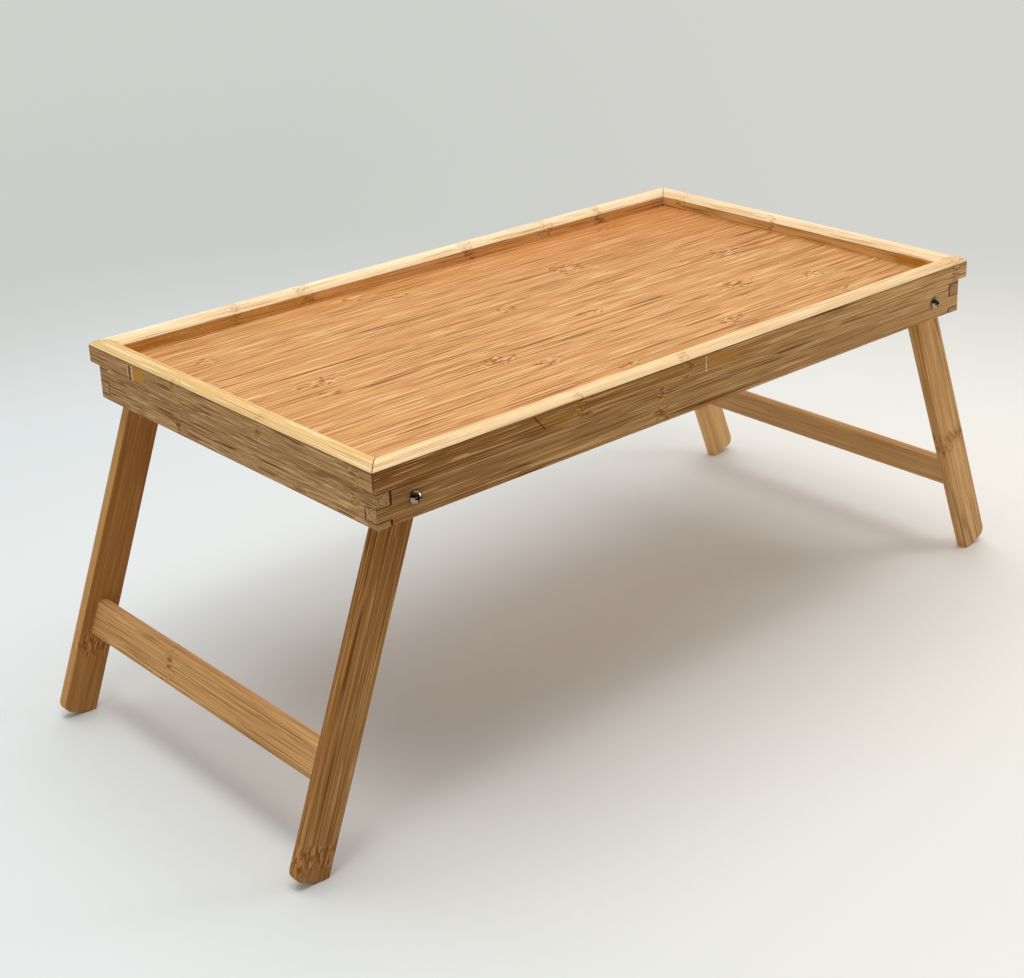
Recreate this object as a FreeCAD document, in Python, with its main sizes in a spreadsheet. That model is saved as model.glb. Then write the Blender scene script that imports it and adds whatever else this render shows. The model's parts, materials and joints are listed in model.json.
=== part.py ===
import FreeCAD, Part
import math
import os
import re

import Sketcher
from FreeCAD import Vector

# Bed tray table of laminated bamboo: a crowned, mitred rim stands on a box-jointed apron and holds a
# thin panel, and two leg frames swing on machine screws from splayed to flat under the panel.
# Frame: X along the tray, Y across it, Z up from the floor, origin under the middle of the tray.

SIZES = {
    # Tray, over the rim
    "tray_length": 500.0,
    "tray_width": 287.0,
    # Rim rail: vertical outer face, crowned top, rebate under its inner edge for the panel
    "rim_width": 14.2,
    "rim_side_height": 11.3,
    "crown_rise": 3.0,
    "inner_arris_drop": 1.0,
    "rim_edge_round": 0.8,
    "rebate_width": 5.0,
    "mitre_gap": 0.2,
    # Panel
    "panel_thickness": 3.0,
    "panel_gap": 0.3,
    # Apron boards and their corner fingers, counted down from the apron's top
    "overhang": 3.7,
    "apron_height": 23.5,
    "board_thickness": 9.0,
    "board_edge_round": 0.6,
    "finger_lead": 3.4,
    "finger_height": 8.2,
    "finger_gap": 0.5,
    # Legs: flat laths that lean outward onto the apron's end boards
    "splay_angle": 20.5,
    "leg_width": 23.0,
    "leg_thickness": 8.5,
    "leg_edge_round": 1.2,
    "foot_flat": 6.5,
    "foot_round": 6.0,
    "fold_clearance": 0.6,
    "stop_gap": 0.1,
    "tip_gap": 1.8,
    # Stretcher between the two legs of a frame, let into a blind mortise at each end
    "stretcher_drop": 155.7,
    "stretcher_width": 23.5,
    "stretcher_thickness": 8.5,
    "stretcher_round": 3.0,
    "mortise_depth": 5.0,
    "mortise_gap": 0.1,
    # Pivot hardware: pan head screw, plastic spacer, steel washer and locking nut
    "screw_diameter": 4.0,
    "bore_clearance": 0.05,
    "screw_tip": 1.5,
    "tip_chamfer": 0.5,
    "head_diameter": 8.0,
    "head_height": 3.0,
    "head_edge": 0.9,
    "recess_span": 4.4,
    "recess_slot": 1.1,
    "recess_depth": 1.9,
    "spacer_diameter": 10.0,
    "spacer_thickness": 0.6,
    "side_play": 0.1,
    "washer_diameter": 9.0,
    "washer_thickness": 0.8,
    "nut_width": 7.0,
    "nut_height": 3.2,
    "collar_diameter": 6.2,
    "collar_height": 1.6,
}

# Places and lengths that follow from the sizes, each from those above it
PLACES = {
    "apron_half_length": "tray_length / 2 - overhang",
    "apron_half_width": "tray_width / 2 - overhang",
    "pivot_drop": "leg_width / 2 + fold_clearance",
    "stop_distance": "leg_width / 2 + stop_gap + (apron_height - pivot_drop) * sin(splay_angle)",
    "pivot_x": "apron_half_length - board_thickness - stop_distance / cos(splay_angle)",
    "leg_reach": "pivot_x - tip_gap",
    "foot_edge": "leg_width / 2 - foot_flat * cos(splay_angle)",
    "pivot_z": "leg_reach * cos(splay_angle) + foot_edge * sin(splay_angle)",
    "rim_z": "pivot_z + pivot_drop",
    "apron_inner_y": "apron_half_width - board_thickness",
    "leg_outer_y": "apron_inner_y - spacer_thickness - 2 * side_play",
    "leg_inner_y": "leg_outer_y - leg_thickness",
    "washer_y": "leg_inner_y - side_play",
    "nut_y": "washer_y - washer_thickness",
    "shank_length": "apron_half_width - nut_y + nut_height + collar_height + screw_tip",
    "bore_radius": "screw_diameter / 2 + bore_clearance",
    "dome_rise": "head_height - head_edge",
    "dome_chord": "sqrt((head_diameter / 2) ^ 2 + dome_rise ^ 2)",
    "dome_radius": "dome_chord ^ 2 / (2 * dome_rise)",
    "dome_sag": "dome_radius * (1 - head_diameter / 2 / dome_chord)",
}

CUT_MARGIN = 1.0        # how far a cutting outline runs past the wood that it cuts
LEAST_FINGER = 1.0      # a lower finger thinner than this is left as part of the one above it
SLANT = math.sqrt(0.5)  # where the middle of a quarter round lies, as a share of its radius

LEFT, RIGHT = -1, 1
FRONT, BACK = -1, 1
CORNERS = [(side, row) for side in (LEFT, RIGHT) for row in (FRONT, BACK)]
SIDE_NAMES = {LEFT: "left", RIGHT: "right"}
ROW_NAMES = {FRONT: "front", BACK: "back"}

doc = FreeCAD.newDocument("bed_tray_table")
sheet = doc.addObject("Spreadsheet::Sheet", "sizes")
for row_number, (alias, size) in enumerate(SIZES.items(), start=1):
    sheet.set(f"A{row_number}", alias)
    sheet.set(f"B{row_number}", str(size))
    sheet.setAlias(f"B{row_number}", alias)
doc.recompute()


def bound(formula):
    """The formula with every size and place named in full, as the document's expressions want it."""
    def full_name(match):
        word = match.group()
        if word in SIZES:
            return f"sizes.{word}"
        return f"places.{word}" if word in PLACES else word
    return re.sub(r"[a-z_]+", full_name, str(formula))


places = doc.addObject("App::VarSet", "places")
for place_name, place_formula in PLACES.items():
    places.addProperty("App::PropertyFloat", place_name, "Places")
    places.setExpression(place_name, bound(place_formula))
working = doc.addObject("App::VarSet", "working")
working.addProperty("App::PropertyFloat", "answer", "Working")
doc.recompute()


def number(formula):
    """What a formula comes to at the present sizes."""
    working.setExpression("answer", bound(formula))
    working.recompute()
    return working.answer


def new_sketch(body, name, plane, lift=None):
    """An empty sketch on one of the body's own origin planes, lifted off it by a formula."""
    sketch = body.newObject("Sketcher::SketchObject", name)
    support = next(feature for feature in body.Origin.OriginFeatures if feature.Role == plane)
    sketch.AttachmentSupport = [(support, "")]
    sketch.MapMode = "FlatFace"
    if lift is not None:
        sketch.setExpression("AttachmentOffset.Base.z", bound(lift))
    return sketch


def pin_point(sketch, geometry, end, across, up):
    """Hold one point of a sketch at a place given by two formulas."""
    for direction, formula in (("DistanceX", across), ("DistanceY", up)):
        constraint = Sketcher.Constraint(direction, -1, 1, geometry, end, number(formula))
        index = sketch.addConstraint(constraint)
        sketch.setExpression(f"Constraints[{index}]", bound(formula))


def draw_outline(sketch, corners, arcs=None):
    """A closed outline through corners given as formulas.

    arcs names the sides that are round: {corner it starts from: a place on the arc}.
    """
    arcs = arcs or {}
    spots = [Vector(number(across), number(up), 0) for across, up in corners]
    ends = []
    for index, start in enumerate(spots):
        finish = spots[(index + 1) % len(spots)]
        if index not in arcs:
            side = sketch.addGeometry(Part.LineSegment(start, finish), False)
            ends.append((side, 1, 2))
            continue
        middle = Vector(number(arcs[index][0]), number(arcs[index][1]), 0)
        side = sketch.addGeometry(Part.Arc(start, middle, finish), False)
        anticlockwise = (middle - start).cross(finish - middle).z > 0
        ends.append((side, 1, 2) if anticlockwise else (side, 2, 1))
    for index, (side, first, last) in enumerate(ends):
        following, following_first, _ = ends[(index + 1) % len(ends)]
        sketch.addConstraint(Sketcher.Constraint("Coincident", side, last, following, following_first))
        pin_point(sketch, side, first, *corners[index])
        if index in arcs:
            middle = Vector(number(arcs[index][0]), number(arcs[index][1]), 0)
            mark = sketch.addGeometry(Part.Point(middle), True)
            sketch.addConstraint(Sketcher.Constraint("PointOnObject", mark, 1, side))
            pin_point(sketch, mark, 1, *arcs[index])


def draw_circle(sketch, across, up, radius):
    """A circle with its centre and radius given as formulas."""
    centre = Vector(number(across), number(up), 0)
    circle = sketch.addGeometry(Part.Circle(centre, Vector(0, 0, 1), number(radius)), False)
    pin_point(sketch, circle, 3, across, up)
    index = sketch.addConstraint(Sketcher.Constraint("Radius", circle, number(radius)))
    sketch.setExpression(f"Constraints[{index}]", bound(radius))


def draw_rounded_box(sketch, up, width, height, radius):
    """A box with rounded corners, centred on the sketch's upright axis at the height up."""
    corners = []
    arcs = {}
    turns = [(1, -1), (1, 1), (-1, 1), (-1, -1)]
    for turn, (right, top) in enumerate(turns):
        side = f"{right} * ({width}) / 2"
        level = f"{up} + {top} * ({height}) / 2"
        inner_side = f"{side} - {right} * ({radius})"
        inner_level = f"{level} - {top} * ({radius})"
        before, after = (inner_side, level), (side, inner_level)
        if right * top > 0:
            before, after = after, before
        arcs[len(corners)] = (
            f"{inner_side} + {right * SLANT} * ({radius})",
            f"{inner_level} + {top * SLANT} * ({radius})",
        )
        corners += [before, after]
    draw_outline(sketch, corners, arcs)


def pad(body, sketch, length, reverse=False, middle=False):
    """Extrude a sketch, from its plane or to both sides of it."""
    feature = body.newObject("PartDesign::Pad", sketch.Name + "_pad")
    feature.Profile = sketch
    feature.setExpression("Length", bound(length))
    feature.Reversed = reverse
    feature.SideType = "Symmetric" if middle else "One side"
    return finished(body, feature)


def pocket(body, sketch, depth=None, reverse=False):
    """Cut a sketch out: to a depth, or right through to both sides of its plane."""
    before = body.Tip.Shape.Volume
    feature = body.newObject("PartDesign::Pocket", sketch.Name + "_cut")
    feature.Profile = sketch
    feature.Reversed = reverse
    if depth is None:
        feature.SideType = "Symmetric"
        feature.Type = "ThroughAll"
    else:
        feature.setExpression("Length", bound(depth))
    finished(body, feature)
    if not body.Tip.Shape.Volume < before:
        raise RuntimeError(f"{feature.Name} cuts nothing")
    return feature


def round_edges(body, name, radius, chosen):
    """Round the edges of the body's last feature that the test chosen picks."""
    base = body.Tip
    edges = [f"Edge{i}" for i, edge in enumerate(base.Shape.Edges, start=1) if chosen(edge)]
    if not edges:
        raise RuntimeError(f"{name} finds no edge to round")
    feature = body.newObject("PartDesign::Fillet", name)
    feature.Base = (base, edges)
    feature.setExpression("Radius", bound(radius))
    return finished(body, feature)


def finished(body, feature):
    """Recompute after a new feature, which becomes the body's last."""
    body.Tip = feature
    doc.recompute()
    return feature


def runs_along(edge, direction):
    """Whether an edge is a straight one along a direction."""
    if edge.Curve.TypeId != "Part::GeomLine":
        return False
    return abs(edge.Curve.Direction.dot(direction)) > 1 - 1e-6


def place(piece, across=0, along=0, up=0, axis=(0, 0, 1), angle=0):
    """Put a piece where its formulas say, turned by a formula about an axis of its own."""
    first_turn = 10  # any turn will do: it keeps the axis until the formula sets the angle
    piece.Placement = FreeCAD.Placement(Vector(), FreeCAD.Rotation(Vector(*axis), first_turn))
    piece.setExpression("Placement.Base.x", bound(across))
    piece.setExpression("Placement.Base.y", bound(along))
    piece.setExpression("Placement.Base.z", bound(up))
    piece.setExpression("Placement.Rotation.Angle", bound(angle))


def new_body(name):
    return doc.addObject("PartDesign::Body", name)


def same_place(one, other):
    return abs(one - other) < 1e-4


# --- Rim ---------------------------------------------------------------------------------------

def rim_rail(name, length):
    """A mitred rail. Its length lies along X, and Y runs inward from its outer face."""
    body = new_body(name)
    profile = new_sketch(body, name + "_profile", "YZ_Plane")
    inner_height = "rim_side_height - inner_arris_drop"
    rebate_edge = "rim_width - rebate_width"
    corners = [
        (0, 0),
        (rebate_edge, 0),
        (rebate_edge, "panel_thickness"),
        ("rim_width", "panel_thickness"),
        ("rim_width", inner_height),
        (0, "rim_side_height"),
    ]
    crown = {4: ("rim_width / 2", "rim_side_height + crown_rise")}
    draw_outline(profile, corners, crown)
    pad(body, profile, length, middle=True)

    mitres = new_sketch(body, name + "_mitres", "XY_Plane")
    for end in (LEFT, RIGHT):
        far_end = f"{end} * (({length}) / 2 + {CUT_MARGIN})"
        corner = f"({length}) / 2 - mitre_gap * {SLANT}"
        triangle = [
            (f"{end} * ({corner} + {CUT_MARGIN})", -CUT_MARGIN),
            (far_end, -CUT_MARGIN),
            (far_end, f"rim_width + {CUT_MARGIN}"),
            (f"{end} * ({corner} - rim_width - {CUT_MARGIN})", f"rim_width + {CUT_MARGIN}"),
        ]
        draw_outline(mitres, triangle)
    pocket(body, mitres)

    def under_edge(edge):
        middle = edge.BoundBox.Center
        return runs_along(edge, Vector(1, 0, 0)) and same_place(middle.y, 0) and same_place(middle.z, 0)

    round_edges(body, name + "_under_edge", "rim_edge_round", under_edge)
    return body


def make_rim():
    rails = []
    for row in (FRONT, BACK):
        rail = rim_rail(f"rim_{ROW_NAMES[row]}", "tray_length")
        place(rail, along=f"{row} * tray_width / 2", up="rim_z", angle=90 + 90 * row)
        rails.append(rail)
    for side in (LEFT, RIGHT):
        rail = rim_rail(f"rim_{SIDE_NAMES[side]}", "tray_width")
        place(rail, across=f"{side} * tray_length / 2", up="rim_z", angle=90 * side)
        rails.append(rail)
    return rails


# --- Panel -------------------------------------------------------------------------------------

def make_panel():
    """The panel lies on the apron's top, with its edges up in the rim's rebate."""
    panel = doc.addObject("Part::Box", "panel")
    margin = "rim_width - rebate_width + panel_gap"
    length = f"tray_length - 2 * ({margin})"
    width = f"tray_width - 2 * ({margin})"
    panel.setExpression("Length", bound(length))
    panel.setExpression("Width", bound(width))
    panel.setExpression("Height", bound("panel_thickness"))
    place(panel, across=f"-({length}) / 2", along=f"-({width}) / 2", up="rim_z")
    return panel


# --- Apron -------------------------------------------------------------------------------------

def finger_levels():
    """Formulas of the levels, below the apron's top, where the corner's boards take turns."""
    room = number(f"apron_height - finger_lead - {LEAST_FINGER}")
    count = math.floor(room / number("finger_height")) + 1
    inner_levels = [f"-(finger_lead + {turn} * finger_height)" for turn in range(count)]
    return [0] + inner_levels + ["-apron_height"]


def board_outline(half_length, notch, first_owned):
    """A board's face with its fingers: those it owns reach its full length, the rest are notches."""
    levels = finger_levels()
    right_side = []
    for turn, (upper, lower) in enumerate(zip(levels, levels[1:])):
        owned = turn % 2 == first_owned
        reach = half_length if owned else f"{half_length} - ({notch})"
        right_side += [(reach, upper), (reach, lower)]
    left_side = [(f"-({reach})", level) for reach, level in reversed(right_side)]
    return right_side + left_side


def apron_board(name, half_length, notch, first_owned):
    """A board with its length along X, its top at Z = 0, and Y running inward from its face."""
    body = new_body(name)
    face = new_sketch(body, name + "_face", "XZ_Plane")
    draw_outline(face, board_outline(half_length, notch, first_owned))
    pad(body, face, "board_thickness", reverse=True)
    return body


def round_lower_edges(body):
    lowest = body.Tip.Shape.BoundBox.ZMin

    def lower_edge(edge):
        return runs_along(edge, Vector(1, 0, 0)) and same_place(edge.BoundBox.ZMax, lowest)

    round_edges(body, body.Name + "_lower_edges", "board_edge_round", lower_edge)


def make_apron():
    boards = []
    for row in (FRONT, BACK):
        name = f"apron_{ROW_NAMES[row]}"
        board = apron_board(name, "apron_half_length", "board_thickness + finger_gap", 0)
        round_lower_edges(board)
        bores = new_sketch(board, name + "_bores", "XZ_Plane")
        for side in (LEFT, RIGHT):
            draw_circle(bores, f"{side} * pivot_x", "-pivot_drop", "bore_radius")
        pocket(board, bores)
        place(board, along=f"{row} * apron_half_width", up="rim_z", angle=90 + 90 * row)
        boards.append(board)
    for side in (LEFT, RIGHT):
        board = apron_board(f"apron_{SIDE_NAMES[side]}", "apron_half_width", "board_thickness", 1)
        round_lower_edges(board)
        place(board, across=f"{side} * apron_half_length", up="rim_z", angle=90 * side)
        boards.append(board)
    return boards


# --- Leg frames --------------------------------------------------------------------------------

def place_on_pivot(piece, side, along):
    """Hang a piece of a leg frame from its pivot, leaning outward by the splay."""
    place(piece, f"{side} * pivot_x", along, "pivot_z", (0, 1, 0), f"{-side} * splay_angle")


def make_leg(side, row):
    """A leg hangs down Z from its pivot at the origin. Its inner face lies on Y = 0."""
    name = f"leg_{ROW_NAMES[row]}_{SIDE_NAMES[side]}"
    body = new_body(name)
    face = new_sketch(body, name + "_face", "XZ_Plane")
    inner, outer = f"{-side} * leg_width / 2", f"{side} * leg_width / 2"
    corners = [
        (inner, 0),
        (outer, 0),
        (outer, "-leg_reach"),
        (f"{-side} * foot_edge", "-leg_reach"),
        (inner, "-leg_reach + foot_flat * sin(splay_angle)"),
    ]
    top = {0: (0, "leg_width / 2")}
    draw_outline(face, corners, top)
    outward = row == BACK
    pad(body, face, "leg_thickness", reverse=outward)

    foot_x = number(outer)
    foot_z = -number("leg_reach")

    def outer_foot_corner(edge):
        middle = edge.BoundBox.Center
        at_corner = same_place(middle.x, foot_x) and same_place(middle.z, foot_z)
        return at_corner and runs_along(edge, Vector(0, 1, 0))

    round_edges(body, name + "_foot_corner", "foot_round", outer_foot_corner)

    def long_edge(edge):
        return runs_along(edge, Vector(0, 0, 1))

    round_edges(body, name + "_long_edges", "leg_edge_round", long_edge)

    mortise = new_sketch(body, name + "_mortise", "XZ_Plane")
    width = "stretcher_thickness + 2 * mortise_gap"
    height = "stretcher_width + 2 * mortise_gap"
    draw_rounded_box(mortise, "-stretcher_drop", width, height, "stretcher_round + mortise_gap")
    pocket(body, mortise, "mortise_depth", reverse=not outward)

    bore = new_sketch(body, name + "_bore", "XZ_Plane")
    draw_circle(bore, 0, 0, "bore_radius")
    pocket(body, bore)
    place_on_pivot(body, side, f"{row} * leg_inner_y")
    return body


def make_stretcher(side):
    """A rounded rail across the frame, which ends just short of the bottom of each mortise."""
    name = f"stretcher_{SIDE_NAMES[side]}"
    body = new_body(name)
    section = new_sketch(body, name + "_section", "XZ_Plane")
    draw_rounded_box(section, "-stretcher_drop", "stretcher_thickness", "stretcher_width", "stretcher_round")
    pad(body, section, "2 * (leg_inner_y + mortise_depth - mortise_gap)", middle=True)
    place_on_pivot(body, side, 0)
    return body


# --- Pivot hardware ----------------------------------------------------------------------------

def place_on_bolt_line(piece, side, row, depth):
    """Stand a piece on a pivot's axis, its Z outward and its base at a distance from the middle."""
    place(piece, f"{side} * pivot_x", f"{row} * ({depth})", "pivot_z", (1, 0, 0), -90 * row)


def pivot_screw(name):
    """A pan head screw: head above Z = 0 with a cross recess, shank below."""
    body = new_body(name)
    profile = new_sketch(body, name + "_profile", "XZ_Plane")
    shank = "screw_diameter / 2"
    corners = [
        (0, "-shank_length"),
        (f"{shank} - tip_chamfer", "-shank_length"),
        (shank, "-shank_length + tip_chamfer"),
        (shank, 0),
        ("head_diameter / 2", 0),
        ("head_diameter / 2", "head_edge"),
        (0, "head_height"),
    ]
    draw_outline(profile, corners, {5: ("dome_chord / 2", "head_height - dome_sag")})
    turned = body.newObject("PartDesign::Revolution", name + "_turned")
    turned.Profile = profile
    turned.ReferenceAxis = (profile, ["V_Axis"])
    turned.Angle = 360
    finished(body, turned)

    cross = new_sketch(body, name + "_cross", "XY_Plane", lift="head_height")
    tip, side = "recess_span / 2", "recess_slot / 2"
    arms = [(tip, f"-{side}"), (tip, side), (side, side), (side, tip), (f"-{side}", tip), (f"-{side}", side)]
    draw_outline(cross, arms + [(f"-({across})", f"-({up})") for across, up in arms])
    pocket(body, cross, "recess_depth")
    return body


def ring(name, outer_diameter, thickness):
    """A washer that slips over the screw."""
    disc = doc.addObject("Part::Cylinder", name + "_disc")
    disc.setExpression("Radius", bound(f"{outer_diameter} / 2"))
    disc.setExpression("Height", bound(thickness))
    hole = doc.addObject("Part::Cylinder", name + "_hole")
    hole.setExpression("Radius", bound("bore_radius"))
    hole.setExpression("Height", bound(thickness))
    cut = doc.addObject("Part::Cut", name)
    cut.Base = disc
    cut.Tool = hole
    return cut


def locking_nut(name):
    """A hexagon nut, its seat at Z = 0 and its round collar below it, threaded on the screw."""
    body = new_body(name)
    hexagon = new_sketch(body, name + "_hexagon", "XY_Plane")
    corner_radius = "nut_width / sqrt(3)"
    corners = [(f"{corner_radius} * cos({60 * i})", f"{corner_radius} * sin({60 * i})") for i in range(6)]
    draw_outline(hexagon, corners)
    pad(body, hexagon, "nut_height", reverse=True)
    collar = new_sketch(body, name + "_collar", "XY_Plane", lift="-nut_height")
    draw_circle(collar, 0, 0, "collar_diameter / 2")
    pad(body, collar, "collar_height", reverse=True)
    bore = new_sketch(body, name + "_bore", "XY_Plane")
    draw_circle(bore, 0, 0, "screw_diameter / 2")
    pocket(body, bore)
    return body


def one_per_corner(label, make, depth):
    """The same fastener at each of the four pivots, as one group of separate solids."""
    copies = []
    for side, row in CORNERS:
        copy = make(f"{label}_{ROW_NAMES[row]}_{SIDE_NAMES[side]}")
        place_on_bolt_line(copy, side, row, depth)
        copies.append(copy)
    group = doc.addObject("Part::Compound", label)
    group.Links = copies
    return group


def make_spacer(name):
    return ring(name, "spacer_diameter", "spacer_thickness")


def make_washer(name):
    return ring(name, "washer_diameter", "washer_thickness")


def make_hardware():
    return [
        one_per_corner("pivot_screws", pivot_screw, "apron_half_width"),
        one_per_corner("pivot_spacers", make_spacer, "apron_inner_y - spacer_thickness"),
        one_per_corner("nut_washers", make_washer, "nut_y"),
        one_per_corner("lock_nuts", locking_nut, "nut_y"),
    ]


# --- Build, check and write --------------------------------------------------------------------

pieces = make_rim() + [make_panel()] + make_apron()
pieces += [make_leg(side, row) for side, row in CORNERS]
pieces += [make_stretcher(side) for side in (LEFT, RIGHT)]
pieces += make_hardware()
doc.recompute()

for item in doc.Objects:
    if "Invalid" in item.State or "Error" in item.State:
        raise RuntimeError(f"{item.Label} failed: {item.State}")
for piece in pieces:
    if piece.Shape.isNull() or not piece.Shape.isValid():
        raise RuntimeError(f"{piece.Label} has no valid shape")

for piece in pieces:
    piece.Label = piece.Name
    piece.Shape.exportStep(f"parts/{piece.Label}.step")

solids = [solid for piece in pieces for solid in piece.Shape.Solids]
print(f"{len(pieces)} nodes, {len(solids)} solids, {sum(solid.Volume for solid in solids) / 1000:.1f} cm3")
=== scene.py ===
import json
import math

import bpy
from mathutils import Euler, Matrix, Vector


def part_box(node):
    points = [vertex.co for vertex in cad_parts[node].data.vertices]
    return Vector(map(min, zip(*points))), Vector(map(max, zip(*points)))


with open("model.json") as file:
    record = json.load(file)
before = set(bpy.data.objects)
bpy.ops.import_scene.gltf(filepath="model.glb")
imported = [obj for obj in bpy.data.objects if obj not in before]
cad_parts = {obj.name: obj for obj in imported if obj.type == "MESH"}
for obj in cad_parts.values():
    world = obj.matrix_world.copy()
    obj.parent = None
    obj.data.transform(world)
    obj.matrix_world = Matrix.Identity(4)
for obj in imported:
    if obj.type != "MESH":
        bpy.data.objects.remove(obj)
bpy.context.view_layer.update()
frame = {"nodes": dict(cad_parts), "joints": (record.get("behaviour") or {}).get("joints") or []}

MM = 1000
TO_MM = (MM, MM, MM)


def srgb(red, green, blue):
    """A linear colour from the 0 to 255 values that a screen would show."""
    def linear(value):
        value /= 255
        return value / 12.92 if value <= 0.04045 else ((value + 0.055) / 1.055) ** 2.4
    return (linear(red), linear(green), linear(blue), 1)


def shades(*colours):
    """Colours of one wood from dark to light."""
    return tuple(srgb(*colour) for colour in colours)


# --- Sizes in millimetres ------------------------------------------------------------------------

RIM_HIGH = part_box("rim_front")[1] * MM
TRAY_LENGTH, TRAY_WIDTH = 2 * RIM_HIGH.x, 2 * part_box("rim_left")[1].y * MM
CROWN_RISE = 3.0
ARRIS_Z = RIM_HIGH.z - CROWN_RISE
RIM_MIDDLE = 10  # in from the rim's outside, where the inner wall's tones take over
PANEL_FACE, PATCH_DEPTH = 222, 9
BOARD_LOW, BOARD_HIGH = (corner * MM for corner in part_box("apron_front"))
APRON_LENGTH, APRON_WIDTH = 2 * BOARD_HIGH.x, 2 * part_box("apron_left")[1].y * MM
APRON_TOP = BOARD_HIGH.z
BOARD = BOARD_HIGH.y - BOARD_LOW.y
FINGER_GAP = 0.5
FINGER_LEAD, FINGER_HEIGHT = 3.4, 8.2
ANY_SECTION = 400  # wider than any rail, board or leg
RIGHT_FOLD = next(hinge for hinge in frame["joints"] if hinge["name"] == "leg_fold_right")
PIVOT = Vector(RIGHT_FOLD["pos_m"]) * MM
# A folded frame lies level, so its range is 90 degrees and the splay
SPLAY = math.radians(RIGHT_FOLD["range_deg"][1] - 90)
SCREW_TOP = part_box("pivot_screws")[1].y * MM
RECESS_RADIUS = 2.4
DOME_CURVE = 0.13  # the head's dome falls by this times the radius squared

# --- Colours -------------------------------------------------------------------------------------

# Crowns are painted paler than flanks: painted light on the tops, which face the lamps overhead.
CROWN = shades((221, 167, 103), (243, 200, 147), (253, 225, 175))
BACK_CROWN = shades((240, 200, 144), (255, 229, 184), (255, 242, 210))
RIGHT_CROWN = shades((238, 192, 132), (253, 220, 173), (255, 234, 198))
LEFT_CROWN = shades((202, 152, 84), (227, 187, 122), (242, 209, 148))
FLANK = shades((142, 94, 46), (196, 145, 84), (238, 194, 136))
LEFT_FLANK = shades((150, 106, 62), (188, 145, 95), (220, 180, 130))
# Inner walls painted lighter and warmer than outer flanks, as painted bounce light off the panel; the right
# end's inner wall is lighter still, as painted light from the left.
INNER = shades((198, 134, 58), (240, 182, 108), (253, 212, 148))
RIGHT_INNER = shades((240, 166, 82), (255, 206, 124), (255, 226, 164))
APRON = shades((144, 99, 50), (194, 147, 91), (230, 187, 131))
PALE = shades((160, 116, 70), (200, 157, 106), (230, 192, 142))
PANEL = shades((176, 110, 52), (211, 154, 96), (238, 190, 134))
LEG = shades((128, 80, 32), (172, 119, 60), (212, 164, 102))
NEAR_LEG = shades((124, 76, 32), (168, 115, 59), (214, 166, 106))
FAR_LEG = shades((206, 154, 94), (252, 203, 138), (255, 226, 170))
RIGHT_LEG = shades((158, 103, 52), (209, 156, 95), (238, 194, 136))
STRETCHER = shades((170, 116, 62), (216, 166, 106), (240, 196, 138))
RIGHT_STRETCHER = shades((184, 130, 74), (230, 182, 122), (250, 208, 150))

DARK_FIBRE = srgb(104, 54, 6)
PALE_FIBRE = srgb(240, 196, 136)
NODE_TINT = srgb(158, 88, 28)
END_GRAIN = srgb(196, 154, 106)
END_DOTS = srgb(122, 84, 50)
PANEL_DARK, PANEL_LIGHT = srgb(120, 60, 4), srgb(255, 214, 156)
PANEL_NODE_DARK, PANEL_NODE_LIGHT = srgb(148, 74, 22), srgb(252, 210, 154)
# Painted shade and bounce light on the panel, darker and warmer towards the back rail and the right end.
PANEL_SHADE_AND_BOUNCE = srgb(204, 122, 52)
CROWN_DARK, CROWN_LIGHT = srgb(196, 138, 70), srgb(255, 242, 208)
CROWN_NODE = srgb(184, 126, 62)
# Painted shade: a dark band just under the crown's outer arris.
ARRIS_PAINTED_SHADE = srgb(84, 42, 8)
MITRE_LINE = srgb(84, 40, 8)
FINGER_LINE = srgb(60, 32, 8)
# Painted shade in the screw heads' cross recesses.
RECESS_PAINTED_SHADE = srgb(30, 26, 22)
AMBER = srgb(196, 138, 44)
PALE_LINE = srgb(255, 232, 186)
DARK_LINE = srgb(84, 50, 18)

# --- Fibres --------------------------------------------------------------------------------------

# Streaks: length and width in millimetres, the number that shifts their noise, and its detail
SWAY = (260, 50, 9, 1)
CLOUDS = (300, 20, 1, 1)
BANDS = (170, 5, 2, 1)
STREAKS = (80, 1.6, 3, 1)
RELIEF = (40, 1.2, 4, 1)
GROUPS = (170, 8, 7, 1)
DEEP_LINES = (80, 2.2, 5, 1)
PALE_LINES = (55, 2.2, 6, 1)
HAIR_LINES = (60, 1.6, 12, 1)
SHEEN = (60, 2.0, 8, 2)
SEAMS = (90, 20, 10, 1)

SWAY_REACH = 5.0  # how far the fibres wander sideways
DRIFT_REACH = 250  # a piece's tones drift over this length on each side of its middle or pivot
SHADE_SPREAD = 0.17  # how much darker one strip of the laminate can be than the next
RIM_STRIP, APRON_STRIP, LATH_STRIP = 5.3, 5.9, 5.8  # thickness of the strips
DASH_HEIGHT = 4.0  # relief of the nodes' dashes, beside 1 for the fibres
RELIEF_DEPTH = 0.0005  # in metres


# --- Node graphs ---------------------------------------------------------------------------------

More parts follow.
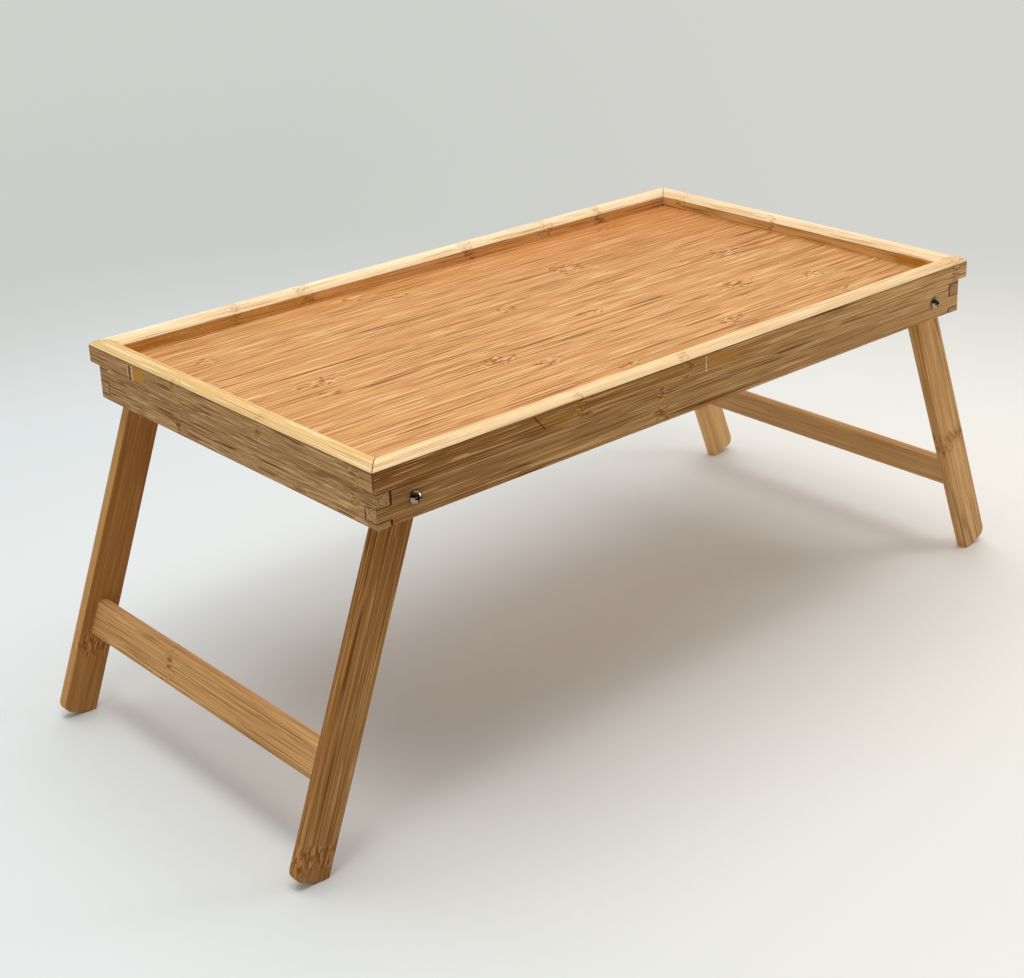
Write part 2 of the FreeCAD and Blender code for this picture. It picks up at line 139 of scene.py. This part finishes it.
class Graph:
    """A material's or world's nodes, built by calls that take and give sockets or plain values."""

    def __init__(self, tree):
        self.tree = tree
        tree.nodes.clear()

    def add(self, kind, inputs=(), **settings):
        node = self.tree.nodes.new(kind)
        for name, value in settings.items():
            setattr(node, name, value)
        for key, value in dict(inputs).items():
            self.feed(node.inputs[key], value)
        return node

    def feed(self, socket, value):
        if isinstance(value, bpy.types.NodeSocket):
            self.tree.links.new(value, socket)
        else:
            socket.default_value = value

    def math(self, operation, first, second=0.0):
        return self.add("ShaderNodeMath", {0: first, 1: second}, operation=operation).outputs[0]

    def vector(self, operation, first, second=(0, 0, 0), third=(0, 0, 0)):
        node = self.add("ShaderNodeVectorMath", {0: first, 1: second, 2: third}, operation=operation)
        return node.outputs["Value" if operation in {"LENGTH", "DOT_PRODUCT"} else "Vector"]

    def split(self, vector):
        return self.add("ShaderNodeSeparateXYZ", {0: vector}).outputs

    def join(self, x, y, z):
        return self.add("ShaderNodeCombineXYZ", {0: x, 1: y, 2: z}).outputs[0]

    def spread(self, value, low, high, to_low=0.0, to_high=1.0, smooth=False):
        """Value from one range to another, held at the ends."""
        kind = "SMOOTHSTEP" if smooth else "LINEAR"
        inputs = {"Value": value, "From Min": low, "From Max": high, "To Min": to_low, "To Max": to_high}
        return self.add("ShaderNodeMapRange", inputs, interpolation_type=kind, clamp=True).outputs["Result"]

    def noise(self, vector, scale=1.0, detail=2.0, distortion=0.0):
        inputs = {"Vector": vector, "Scale": scale, "Detail": detail, "Distortion": distortion}
        return self.add("ShaderNodeTexNoise", inputs).outputs["Fac"]

    def blend(self, factor, first, second):
        node = self.add("ShaderNodeMix", data_type="RGBA")
        for index, value in ((0, factor), (6, first), (7, second)):
            self.feed(node.inputs[index], value)
        return node.outputs[2]

    def ramp(self, factor, stops):
        node = self.add("ShaderNodeValToRGB", {"Fac": factor})
        elements = node.color_ramp.elements
        while len(elements) < len(stops):
            elements.new(0.5)
        for element, (position, colour) in zip(elements, stops):
            element.position = position
            element.color = colour
        return node.outputs["Color"]

    def surface(self, shader):
        output = self.add("ShaderNodeOutputMaterial")
        self.feed(output.inputs["Surface"], shader.outputs[0])


def new_material(name):
    material = bpy.data.materials.new(name)
    material.use_nodes = True
    return material, Graph(material.node_tree)


# --- Bamboo --------------------------------------------------------------------------------------

def turned(rotation, origin=(0, 0, 0)):
    """The mapping from an object's metres to millimetres in a turned frame about an origin."""
    euler = Euler(rotation)
    shift = -(euler.to_matrix() @ Vector(origin))
    return {"Scale": TO_MM, "Rotation": euler, "Location": shift}


ALONG_X = turned((0, 0, 0))
ALONG_Y = turned((0, 0, -math.pi / 2))


def along_leg(side):
    """Grain frame of a leg: first axis up the leg from its pivot, second across its depth."""
    pivot = (side * PIVOT.x, PIVOT.y, PIVOT.z)
    return turned((0, math.pi / 2 + side * SPLAY, 0), pivot)


class Bamboo:
    """Bamboo laminate. The grain frame is in millimetres: u along the fibres, v and w across them."""

    def __init__(self, name, grain, seed, nodes, warp=2.0, stretch=1.0, width=0.45):
        self.material, self.graph = new_material(name)
        graph = self.graph
        coordinates = graph.add("ShaderNodeTexCoord").outputs
        place, self.normal = coordinates["Object"], coordinates["Normal"]
        self.millimetres = graph.vector("MULTIPLY", place, TO_MM)
        self.plain = graph.add("ShaderNodeMapping", {"Vector": place, **grain}).outputs[0]
        facing = graph.add("ShaderNodeMapping", {"Vector": self.normal, "Rotation": grain["Rotation"]},
                           vector_type="NORMAL").outputs[0]
        self.end_face = graph.spread(graph.math("ABSOLUTE", graph.split(facing)[0]), 0.75, 0.9)
        self.seed = seed
        self.stretch = stretch
        self.width = width
        self.grain = self.plain
        sway = graph.math("MULTIPLY", graph.math("SUBTRACT", self.fibre(SWAY), 0.5), SWAY_REACH)
        self.grain = graph.vector("ADD", self.plain, graph.join(0.0, sway, sway))
        self.add_nodes(nodes, warp)

    def fibre(self, streaks):
        """Noise of long streaks, around 0.5."""
        length, width, number, detail = streaks
        across = 1 / (width * self.width)
        scale = (1 / (length * self.stretch), across, across)
        offset = (self.seed * 7.3 + number * 3.1, self.seed * 3.7 + number * 11.9, number * 5.3)
        return self.graph.noise(self.graph.vector("MULTIPLY_ADD", self.grain, scale, offset), detail=detail)

    def add_nodes(self, places, warp):
        """The culm's nodes: short bands where the fibres swell and cross. Each is centre and half sizes."""
        graph = self.graph
        wobble = graph.spread(graph.noise(self.plain, scale=0.14), 0.3, 0.7, -0.4, 0.4)
        self.nodes = 0.0
        for centre, radii in places:
            offset = graph.vector("SUBTRACT", self.plain, centre)
            reach = graph.vector("LENGTH", graph.vector("MULTIPLY", offset, tuple(1 / r for r in radii)))
            mask = graph.spread(graph.math("ADD", reach, wobble), 1.15, 0.4, smooth=True)
            self.nodes = graph.math("MAXIMUM", self.nodes, mask)
        swell = graph.spread(graph.noise(self.plain, scale=0.3), 0.25, 0.75, -warp, warp)
        shift = graph.math("MULTIPLY", swell, self.nodes)
        self.grain = graph.vector("ADD", self.grain, graph.join(0.0, shift, shift))
        strokes = graph.noise(graph.vector("MULTIPLY", self.plain, (1 / 6, 1 / 1.4, 1 / 1.4)), distortion=0.4)
        self.dashes = graph.math("MULTIPLY", graph.math("SUBTRACT", strokes, 0.5), self.nodes)
        self.relief = graph.math("ADD", self.fibre(RELIEF), graph.math("MULTIPLY", self.dashes, DASH_HEIGHT))

    def colour(self, tones, contrast=1.0, drift=0.0):
        """Fibre colour from tones, three colours from dark to light. Drift lightens it towards one end."""
        graph = self.graph
        level = 0.5
        if drift:
            along = graph.split(self.plain)[0]
            level = graph.spread(along, -DRIFT_REACH, DRIFT_REACH, 0.5 - drift, 0.5 + drift)
        for streaks, weight in ((CLOUDS, 0.2), (BANDS, 0.1), (STREAKS, 0.5)):
            part = graph.math("SUBTRACT", self.fibre(streaks), 0.5)
            level = graph.math("ADD", level, graph.math("MULTIPLY", part, weight * contrast))
        dark, middle, light = tones
        return graph.ramp(level, [(0.25, dark), (0.5, middle), (0.75, light)])

    def lines(self, colour, dark, light, dark_share, light_share):
        """Thin dark and light dashes on top of the mottling, in loose groups."""
        graph = self.graph
        groups = graph.spread(self.fibre(GROUPS), 0.36, 0.58, 0.3, 1.0)
        deep = graph.spread(self.fibre(DEEP_LINES), 0.6, 0.625, 0, dark_share)
        pale = graph.spread(self.fibre(PALE_LINES), 0.6, 0.63, 0, light_share)
        hair = graph.spread(self.fibre(HAIR_LINES), 0.58, 0.62, 0, dark_share * 0.45)
        colour = graph.blend(pale, graph.blend(hair, colour, dark), light)
        return graph.blend(graph.math("MULTIPLY", deep, groups), colour, dark)

    def strips(self, colour, dark, thickness, strength=0.5):
        """The laminate's strips, stacked across the grain, each a shade of its own with a fine dark seam."""
        graph = self.graph
        _, v, w = graph.split(self.grain)
        shade = 0.0
        seam = 0.0
        for axis, offset in ((v, 0.37), (w, 0.61)):
            layer = graph.math("ADD", graph.math("DIVIDE", axis, thickness), offset)
            number = graph.math("ADD", graph.math("FLOOR", layer), self.seed * 1.7)
            chance = graph.add("ShaderNodeTexWhiteNoise", {"W": number}, noise_dimensions="1D")
            shade = graph.math("ADD", shade, graph.spread(chance.outputs["Value"], 0, 1, 0, SHADE_SPREAD))
            edge = graph.math("ABSOLUTE", graph.math("SUBTRACT", graph.math("FRACT", layer), 0.5))
            seam = graph.math("MAXIMUM", seam, graph.spread(edge, 0.44, 0.49))
        faint = graph.spread(self.fibre(SEAMS), 0.35, 0.65, 0.1, 1.0)
        seam = graph.math("MULTIPLY", graph.math("MULTIPLY", seam, faint), strength)
        return graph.blend(seam, graph.blend(shade, colour, dark), dark)

    def stain_nodes(self, colour, dark, light, tint=0.3, strength=0.5):
        """Rough dashes and a warmer tint in the nodes."""
        graph = self.graph
        tinted = graph.blend(graph.math("MULTIPLY", self.nodes, tint), colour, NODE_TINT)
        bright = graph.spread(self.dashes, 0.02, 0.07, 0, 0.6 * strength)
        deep = graph.spread(self.dashes, -0.02, -0.07, 0, strength)
        return graph.blend(deep, graph.blend(bright, tinted, light), dark)

    def end_grain(self, colour):
        """Where the face is across the fibres, the bundles show as dots."""
        graph = self.graph
        bundles = graph.spread(graph.noise(self.plain), 0.46, 0.6, 0, 0.75)
        return graph.blend(self.end_face, colour, graph.blend(bundles, END_GRAIN, END_DOTS))

    def finger_lines(self, colour, axis, notch_at, first):
        """Dark lines round the corner fingers of an apron board, notched from a distance along an axis."""
        graph = self.graph
        along = graph.split(graph.vector("ABSOLUTE", self.millimetres))[axis]
        height = graph.split(self.millimetres)[2]
        down = graph.math("SUBTRACT", APRON_TOP - FINGER_LEAD, height)
        turns = graph.math("DIVIDE", down, FINGER_HEIGHT)
        turn = graph.math("FRACT", graph.math("ADD", turns, 0.5))
        from_level = graph.math("ABSOLUTE", graph.math("SUBTRACT", turn, 0.5))
        seam = graph.spread(from_level, 0.55 / FINGER_HEIGHT, 0.2 / FINGER_HEIGHT, 0, 0.7)
        seam = graph.math("MULTIPLY", seam, graph.spread(along, notch_at - 0.2, notch_at + 0.2))
        number = graph.math("ADD", graph.math("FLOOR", turns), first)
        notched = graph.spread(graph.math("FRACT", graph.math("MULTIPLY", number, 0.5)), 0.2, 0.3, 1, 0)
        from_stop = graph.math("ABSOLUTE", graph.math("SUBTRACT", along, notch_at - 0.3))
        stop = graph.math("MULTIPLY", graph.spread(from_stop, 0.75, 0.4, 0, 0.9), notched)
        return graph.blend(graph.math("MAXIMUM", seam, stop), colour, FINGER_LINE)

    def mark(self, colour, low, high, tone, softness=0.2, lean=0.0, share=1.0):
        """Paint a box of the piece: a joint line, a glue patch or a strip. Lean is x over z."""
        graph = self.graph
        centre = tuple((a + b) / 2 for a, b in zip(low, high))
        half = tuple((b - a) / 2 for a, b in zip(low, high))
        x, y, z = graph.split(graph.vector("SUBTRACT", self.millimetres, centre))
        x = graph.math("SUBTRACT", x, graph.math("MULTIPLY", z, lean))
        offset = graph.vector("ABSOLUTE", graph.join(x, y, z))
        x, y, z = graph.split(graph.vector("SUBTRACT", half, offset))
        nearest = graph.math("MINIMUM", graph.math("MINIMUM", x, y), z)
        inside = graph.spread(nearest, -softness / 2, softness)
        uneven = graph.spread(graph.noise(self.plain, scale=0.3, detail=1), 0.3, 0.55, 0.6 * share, share)
        return graph.blend(graph.math("MULTIPLY", inside, uneven), colour, tone)

    def finish(self, colour, roughness):
        graph = self.graph
        bump = {"Height": self.relief, "Strength": 0.25, "Distance": RELIEF_DEPTH}
        relief = graph.add("ShaderNodeBump", bump)
        sheen = graph.spread(self.fibre(SHEEN), 0.3, 0.7, roughness - 0.07, roughness + 0.1)
        graph.surface(graph.add("ShaderNodeBsdfPrincipled", {
            "Base Color": colour, "Roughness": sheen, "Normal": relief.outputs[0],
            "IOR": 1.4, "Specular IOR Level": 0.05,
        }))
        return self.material


def across(u, length=9):
    """A node band over the whole section of a rail, board or leg, centred at u along its grain."""
    return ((u, 0, 0), (length, ANY_SECTION, ANY_SECTION))


def patch(x, y, length, width):
    """A node in the panel's face: centre and half sizes."""
    return ((x, y, PANEL_FACE), (length, width, PATCH_DEPTH))


def joint(low, high, tone, **style):
    return {"low": low, "high": high, "tone": tone, **style}


# --- Pieces --------------------------------------------------------------------------------------

PANEL_NODES = [
    patch(-176, 4, 16, 8), patch(-186, -17, 10, 5), patch(-67, 118, 11, 5), patch(-44, 100, 10, 5),
    patch(73, 64, 14, 13), patch(-15, 25, 10, 5), patch(19, -18, 10, 5), patch(-81, -45, 17, 8),
    patch(-62, -68, 13, 6), patch(-33, -108, 9, 5), patch(176, 8, 15, 11), patch(126, -46, 15, 9),
    patch(71, -94, 14, 8), patch(178, -69, 11, 6), patch(168, -105, 9, 6), patch(162, 117, 13, 6),
    patch(-205, 84, 9, 5),
]

FRONT_MARKS = [
    joint((-4.2, -150, 219.8), (24, -140, 228.6), AMBER, softness=3.0, share=0.45),
    joint((-5.2, -150, 215), (-4.4, -140, 229.2), PALE_LINE, share=0.8),
    joint((-136.9, -150, 219.5), (-135.7, -140, 229.5), DARK_LINE, lean=-0.88),
    joint((-132, -150, 219.8), (-106, -140, 228.6), AMBER, softness=6.0, share=0.35),
]
BACK_MARKS = [
    joint((-236, 120, 222), (-196, 135, 229.0), AMBER, softness=6.0, share=0.8),
    joint((-236, 120, 215), (-90, 135, 240.0), AMBER, softness=14.0, share=0.6),
]
LEFT_MARKS = [
    joint((-255, 80, 219.8), (-240, 92.6, 229.0), AMBER, softness=1.0, share=0.85),
    joint((-255, 92.8, 215), (-240, 93.6, 229.0), PALE_LINE),
    joint((-255, 94.4, 215), (-240, 97.0, 229.0), DARK_LINE, share=0.7),
    joint((-255, 97.8, 215), (-240, 98.5, 229.0), PALE_LINE, share=0.6),
]
RIGHT_MARKS = [joint((230, -119, 222), (240, -94, 228.0), AMBER, softness=2.0)]

# Each rail: seed, streaks' stretch on its flanks, shades, drift, nodes and marks. The front rail's drift is
# painted light: its flank is lighter towards the right end, and its crown a little darker there.
RIMS = {
    "front": (2, 1.0, FLANK, INNER, CROWN, 0.2,
              [across(-104, 8), across(-20, 6), across(238, 7)], FRONT_MARKS),
    "back": (3, 1.0, FLANK, INNER, BACK_CROWN, 0.0,
             [across(-154, 8), across(-98), across(40, 8), across(113), across(168, 7)], BACK_MARKS),
    "left": (4, 0.4, LEFT_FLANK, INNER, LEFT_CROWN, 0.0,
             [across(46), across(-126, 7), across(-38, 8)], LEFT_MARKS),
    "right": (5, 0.8, PALE, RIGHT_INNER, RIGHT_CROWN, 0.0, [across(20), across(110)], RIGHT_MARKS),
}
# Each apron board: seed, stretch, shades, drift and nodes. The front board's drift is painted light, lighter
# towards its right end.
APRONS = {
    "front": (6, 1.0, APRON, 0.13, [across(-38, 8)]),
    "back": (7, 1.0, APRON, 0.0, [across(90), across(-140)]),
    "left": (8, 0.4, PALE, 0.0, [across(-122, 6), across(52, 8)]),
    "right": (9, 0.8, APRON, 0.0, [across(30), across(-90)]),
}
# Each leg and stretcher: seed, shades, place of its node, contrast, paleness of its edges (partly painted
# light) and drift
LEGS = {
    "leg_front_left": (10, NEAR_LEG, -205, 1.0, 0.0, -0.13),
    "leg_back_left": (11, LEG, -173, 0.5, 0.6, -0.08),
    "leg_front_right": (12, RIGHT_LEG, -120, 0.8, 0.0, -0.2),
    "leg_back_right": (13, FAR_LEG, -150, 0.4, 0.0, 0.0),
}
STRETCHERS = {
    "stretcher_left": (20, STRETCHER, 36, 0.7),
    "stretcher_right": (21, RIGHT_STRETCHER, 118, 0.45),
}


def panel_material():
    """Fine-grained sheet, with painted shade and bounce light that make it darker and warmer towards the back
    rail and the right end.
    """
    bamboo = Bamboo("bamboo_panel", ALONG_X, 1, PANEL_NODES, warp=1.5, stretch=0.9, width=0.8)
    graph = bamboo.graph
    colour = bamboo.colour(PANEL, contrast=0.6)
    colour = bamboo.lines(colour, PANEL_DARK, PANEL_LIGHT, 0.8, 0.45)
    colour = bamboo.stain_nodes(colour, PANEL_NODE_DARK, PANEL_NODE_LIGHT, 0.25, 0.75)
    x, y, _ = graph.split(bamboo.millimetres)
    # Painted shade and bounce light, darker and warmer towards the back rail and the right end.
    reach = graph.math("ADD", graph.math("MULTIPLY", x, 0.35), y)
    colour = graph.blend(graph.spread(reach, 60, 190, 0, 0.5), colour, PANEL_SHADE_AND_BOUNCE)
    return bamboo.finish(colour, roughness=0.5)


def rim_material(side, seed, stretch, flank_tones, inner_tones, crown_tones, drift, nodes, marks):
    """A rail: a crown painted paler and flanks darker, as painted light from above; inner walls painted
    lighter and warmer, as painted bounce light; a painted shade line under the arris; dark lines in the
    mitres and the marks of its joints.
    """
    grain = ALONG_X if side in ("front", "back") else ALONG_Y
    bamboo = Bamboo("bamboo_rim_" + side, grain, seed, nodes, warp=1.5)
    graph = bamboo.graph
    x, y, _ = graph.split(graph.vector("ABSOLUTE", bamboo.millimetres))
    height = graph.split(bamboo.millimetres)[2]
    from_end = graph.math("SUBTRACT", TRAY_LENGTH / 2, x)
    from_side = graph.math("SUBTRACT", TRAY_WIDTH / 2, y)
    inward = graph.math("MINIMUM", from_end, from_side)

    crown = bamboo.colour(crown_tones, drift=-0.4 * drift)
    # Painted highlight: paler within 8 mm of the rail's outside, where the crown curves away from the light
    # overhead.
    crown = graph.blend(graph.spread(inward, 8.0, 1.0, 0, 0.5), crown, crown_tones[2])
    crown = bamboo.lines(crown, CROWN_DARK, CROWN_LIGHT, 0.7, 0.5)
    crown = bamboo.stain_nodes(crown, CROWN_NODE, PALE_FIBRE, 0.1, 0.35)

    bamboo.stretch = stretch
    # Painted bounce light: the inner walls take lighter, warmer shades than the outer flanks.
    outer, inner = bamboo.colour(flank_tones, drift=drift), bamboo.colour(inner_tones)
    flank = graph.blend(graph.spread(inward, RIM_MIDDLE - 1, RIM_MIDDLE + 1), outer, inner)
    flank = bamboo.strips(flank, DARK_FIBRE, RIM_STRIP)
    flank = bamboo.lines(flank, DARK_FIBRE, flank_tones[2], 0.8, 0.6)
    flank = bamboo.stain_nodes(flank, DARK_FIBRE, PALE_FIBRE)
    for mark in marks:
        flank = bamboo.mark(flank, **mark)
    # Painted shade: a dark band just under the crown's outer arris.
    flank = graph.blend(graph.spread(height, ARRIS_Z - 1.5, ARRIS_Z - 0.3, 0, 0.5), flank, ARRIS_PAINTED_SHADE)

    # Painted light: faces turned up take the paler crown colours, the sides take the darker flank colours.
    upward = graph.split(bamboo.normal)[2]
    colour = graph.blend(graph.spread(upward, 0.25, 0.5), flank, crown)
    off_mitre = graph.math("SUBTRACT", graph.math("SUBTRACT", x, y), (TRAY_LENGTH - TRAY_WIDTH) / 2)
    gap = graph.spread(graph.math("ABSOLUTE", off_mitre), 0.6, 0.15)
    uneven = graph.spread(graph.noise(bamboo.plain, scale=0.11, detail=1), 0.35, 0.6, 0.6, 1.0)
    colour = graph.blend(graph.math("MULTIPLY", gap, uneven), colour, MITRE_LINE)
    return bamboo.finish(colour, roughness=0.46)


def apron_material(side, seed, stretch, tones, drift, nodes):
    along_x = side in ("front", "back")
    bamboo = Bamboo("bamboo_apron_" + side, ALONG_X if along_x else ALONG_Y, seed, nodes, stretch=stretch)
    colour = bamboo.strips(bamboo.colour(tones, drift=drift), DARK_FIBRE, APRON_STRIP)
    colour = bamboo.lines(colour, DARK_FIBRE, tones[2], 0.85, 0.6)
    colour = bamboo.stain_nodes(colour, DARK_FIBRE, PALE_FIBRE, 0.3, 0.6)
    colour = bamboo.end_grain(colour)
    if along_x:
        colour = bamboo.finger_lines(colour, 0, APRON_LENGTH / 2 - BOARD - FINGER_GAP, 0)
    else:
        colour = bamboo.finger_lines(colour, 1, APRON_WIDTH / 2 - BOARD, 1)
    return bamboo.finish(colour, roughness=0.52)


def lath_material(node, grain, seed, tones, place, contrast, pale_and_lit_edges=0.0, drift=0.0):
    """A leg or stretcher. Pale edges lighten the narrow faces: partly paler wood and partly painted light,
    where those faces tilt up towards the lamps.
    """
    bamboo = Bamboo("bamboo_" + node, grain, seed, [across(place)])
    colour = bamboo.colour(tones, contrast, drift)
    colour = bamboo.strips(colour, DARK_FIBRE, LATH_STRIP, 0.45 * contrast)
    colour = bamboo.lines(colour, DARK_FIBRE, tones[2], 0.7 * contrast, 0.6 * contrast)
    colour = bamboo.stain_nodes(colour, DARK_FIBRE, PALE_FIBRE, 0.4, 0.5)
    # Painted light on the narrow faces, which tilt up towards the lamps, together with paler wood at the
    # edges.
    if pale_and_lit_edges:
        graph = bamboo.graph
        sideways = graph.math("ABSOLUTE", graph.split(bamboo.normal)[1])
        colour = graph.blend(graph.spread(sideways, 0.5, 0.3, 0, pale_and_lit_edges), colour, tones[2])
    return bamboo.finish(bamboo.end_grain(colour), roughness=0.5)


def recess_shade_mask(graph, place):
    """1 in the cross recess of a screw's head: near its axis and under the head's dome. There the head is
    painted dark as shade.
    """
    x, y, z = graph.split(graph.vector("ABSOLUTE", graph.vector("MULTIPLY", place, TO_MM)))
    x = graph.math("SUBTRACT", x, PIVOT.x)
    z = graph.math("SUBTRACT", z, PIVOT.z)
    radius = graph.vector("LENGTH", graph.join(x, 0.0, z))
    fall = graph.math("MULTIPLY", graph.math("MULTIPLY", radius, radius), DOME_CURVE)
    dome = graph.math("SUBTRACT", SCREW_TOP, fall)
    sunk = graph.spread(graph.math("SUBTRACT", dome, y), 0.1, 0.35)
    return graph.math("MULTIPLY", sunk, graph.spread(radius, RECESS_RADIUS + 0.2, RECESS_RADIUS))


def metal(name, tone, roughness, paint_recess_shade=False):
    material, graph = new_material(name)
    place = graph.add("ShaderNodeTexCoord").outputs["Object"]
    brushed = graph.noise(graph.vector("MULTIPLY", place, (900, 900, 900)), detail=3)
    colour = graph.ramp(brushed, [(0.3, tone), (0.8, tuple(min(1, 1.4 * c) for c in tone))])
    # Painted shade: the cross recess darkened.
    if paint_recess_shade:
        colour = graph.blend(recess_shade_mask(graph, place), colour, RECESS_PAINTED_SHADE)
    graph.surface(graph.add("ShaderNodeBsdfPrincipled", {
        "Base Color": colour,
        "Metallic": 1.0,
        "Roughness": graph.spread(brushed, 0.3, 0.7, roughness, roughness + 0.08),
    }))
    return material


def plastic(name, tone, roughness):
    material, graph = new_material(name)
    place = graph.add("ShaderNodeTexCoord").outputs["Object"]
    grain = graph.noise(graph.vector("MULTIPLY", place, (1500, 1500, 1500)))
    relief = graph.add("ShaderNodeBump", {"Height": grain, "Strength": 0.1, "Distance": 0.0001})
    graph.surface(graph.add("ShaderNodeBsdfPrincipled", {
        "Base Color": graph.ramp(grain, [(0.2, tone), (0.8, tuple(min(1, 1.3 * c) for c in tone))]),
        "Roughness": graph.spread(grain, 0.3, 0.7, roughness, roughness + 0.1),
        "Normal": relief.outputs[0],
    }))
    return material


def dress(node, material):
    for slot in frame["nodes"][node].material_slots:
        slot.material = material


def dress_all():
    dress("panel", panel_material())
    for side, style in RIMS.items():
        dress("rim_" + side, rim_material(side, *style))
    for side, style in APRONS.items():
        dress("apron_" + side, apron_material(side, *style))
    for node, style in LEGS.items():
        grain = along_leg(-1 if node.endswith("left") else 1)
        dress(node, lath_material(node, grain, *style))
    for node, style in STRETCHERS.items():
        dress(node, lath_material(node, ALONG_Y, *style))
    dress("pivot_screws", metal("dark_nickel", srgb(150, 136, 118), 0.07, paint_recess_shade=True))
    dress("nut_washers", metal("zinc_plate", srgb(176, 178, 178), 0.3))
    dress("lock_nuts", metal("zinc_plate_nut", srgb(182, 184, 182), 0.28))
    dress("pivot_spacers", plastic("black_nylon", srgb(40, 40, 42), 0.5))


# --- Floor, light and camera ---------------------------------------------------------------------

# The floor in metres. It fades from lit to plain between two distances from the lit middle
FLOOR_REACH = 30.0
LIT_MIDDLE, LIT_FROM, LIT_TO = (-0.1, -0.05, 0), 0.6, 1.15
TO_RIGHT = (0.74, -0.67, 0)
NEAR_COOL, NEAR_WARM = srgb(224, 229, 228), srgb(238, 235, 226)
FLOOR_CLOUD = srgb(205, 203, 201)
FAR_COOL, FAR_WARM = srgb(204, 206, 201), srgb(212, 212, 207)
BACKDROP = srgb(210, 211, 206)

# The sky brightens from the camera's side to the side behind the object, and upward
UP_AND_BEHIND = (0.56, 0.62, 0.55)
SKY = [(0.0, (0.01, 0.01, 0.01, 1)), (0.45, (0.1, 0.1, 0.098, 1)), (1.0, (1.02, 1.03, 1.05, 1))]

# Each lamp: place, what it points at, size in metres and watts
LAMPS = {
    "key": ((-0.1, 0.0, 2.0), (0, 0, 0.1), 2.2, 21),
    "spot": ((-0.3, -0.4, 2.0), (0, 0, 0.1), 0.4, 4.5),
    "fill": ((1.2, -0.8, 0.42), (0.3, 0, 0.1), 0.5, 3.6),
    "side": ((-1.5, -0.25, 0.6), (0, 0, 0.12), 0.9, 4.0),
}

# The photograph's camera, from a fit to the tray's corners and the legs, in metres, degrees and millimetres
CAMERA_PLACE = (-0.7555, -0.8526, 0.6004)
CAMERA_AZIMUTH, CAMERA_ELEVATION, CAMERA_ROLL = -41.99, 20.33, -1.64
CAMERA_SENSOR, CAMERA_LENS = 36, 65.49
CAMERA_SHIFT = (-0.0513, -0.1103)


def make_floor():
    """One pale sheet, lit near the object and fading to a plain light grey further out."""
    mesh = bpy.data.meshes.new("floor")
    corners = [(x * FLOOR_REACH, y * FLOOR_REACH, 0) for x, y in ((-1, -1), (1, -1), (1, 1), (-1, 1))]
    mesh.from_pydata(corners, [], [(0, 1, 2, 3)])
    floor = bpy.data.objects.new("floor", mesh)
    bpy.context.scene.collection.objects.link(floor)
    material, graph = new_material("pale_floor")
    place = graph.add("ShaderNodeTexCoord").outputs["Object"]
    radius = graph.vector("LENGTH", graph.vector("SUBTRACT", place, LIT_MIDDLE))
    warmth = graph.spread(graph.vector("DOT_PRODUCT", place, TO_RIGHT), -0.4, 0.5, smooth=True)
    cloud = graph.spread(graph.noise(place, scale=2.2), 0.3, 0.7, 0, 0.06)
    near = graph.blend(cloud, graph.blend(warmth, NEAR_COOL, NEAR_WARM), FLOOR_CLOUD)
    lit = graph.add("ShaderNodeBsdfPrincipled", {"Base Color": near, "Roughness": 0.8})
    far = graph.blend(graph.spread(radius, 1.4, 4.0), graph.blend(warmth, FAR_COOL, FAR_WARM), BACKDROP)
    plain = graph.add("ShaderNodeEmission", {"Color": far, "Strength": 1.0})
    seen = graph.add("ShaderNodeLightPath").outputs["Is Camera Ray"]
    fade = graph.math("MULTIPLY", graph.spread(radius, LIT_FROM, LIT_TO, smooth=True), seen)
    graph.surface(graph.add("ShaderNodeMixShader", {0: fade, 1: lit.outputs[0], 2: plain.outputs[0]}))
    mesh.materials.append(material)


def make_lamp(name, place, target, size, watts):
    light = bpy.data.lights.new(name, "AREA")
    light.shape = "DISK"
    light.size = size
    light.energy = watts
    lamp = bpy.data.objects.new(name, light)
    lamp.location = place
    lamp.rotation_euler = (Vector(target) - Vector(place)).to_track_quat("-Z", "Y").to_euler()
    bpy.context.scene.collection.objects.link(lamp)


def make_light():
    """Broad light from overhead, dimmer all round, least from the side that the camera stands on."""
    world = bpy.data.worlds.new("studio")
    bpy.context.scene.world = world
    world.use_nodes = True
    graph = Graph(world.node_tree)
    direction = graph.add("ShaderNodeTexCoord").outputs["Generated"]
    behind = graph.spread(graph.vector("DOT_PRODUCT", direction, UP_AND_BEHIND), -0.6, 0.9)
    seen = graph.add("ShaderNodeLightPath").outputs["Is Camera Ray"]
    tone = graph.blend(seen, graph.ramp(behind, SKY), BACKDROP)
    background = graph.add("ShaderNodeBackground", {"Color": tone, "Strength": 1.0})
    output = graph.add("ShaderNodeOutputWorld")
    graph.feed(output.inputs["Surface"], background.outputs[0])
    for name, lamp in LAMPS.items():
        make_lamp(name, *lamp)


def make_camera():
    azimuth, elevation, roll = (math.radians(a) for a in (CAMERA_AZIMUTH, CAMERA_ELEVATION, CAMERA_ROLL))
    back = Vector((math.sin(azimuth) * math.cos(elevation), -math.cos(azimuth) * math.cos(elevation),
                   math.sin(elevation)))
    level = Vector((math.cos(azimuth), math.sin(azimuth), 0))
    upright = back.cross(level)
    right = level * math.cos(roll) + upright * math.sin(roll)
    up = upright * math.cos(roll) - level * math.sin(roll)
    data = bpy.data.cameras.new("camera")
    data.sensor_fit = "HORIZONTAL"
    data.sensor_width = CAMERA_SENSOR
    data.lens = CAMERA_LENS
    data.shift_x, data.shift_y = CAMERA_SHIFT
    data.clip_end = 50
    camera = bpy.data.objects.new("camera", data)
    turn = Matrix((right, up, back)).transposed().to_4x4()
    camera.matrix_world = Matrix.Translation(CAMERA_PLACE) @ turn
    bpy.context.scene.collection.objects.link(camera)
    bpy.context.scene.camera = camera


dress_all()
make_floor()
make_light()
make_camera()
bpy.context.scene.view_settings.view_transform = "Standard"
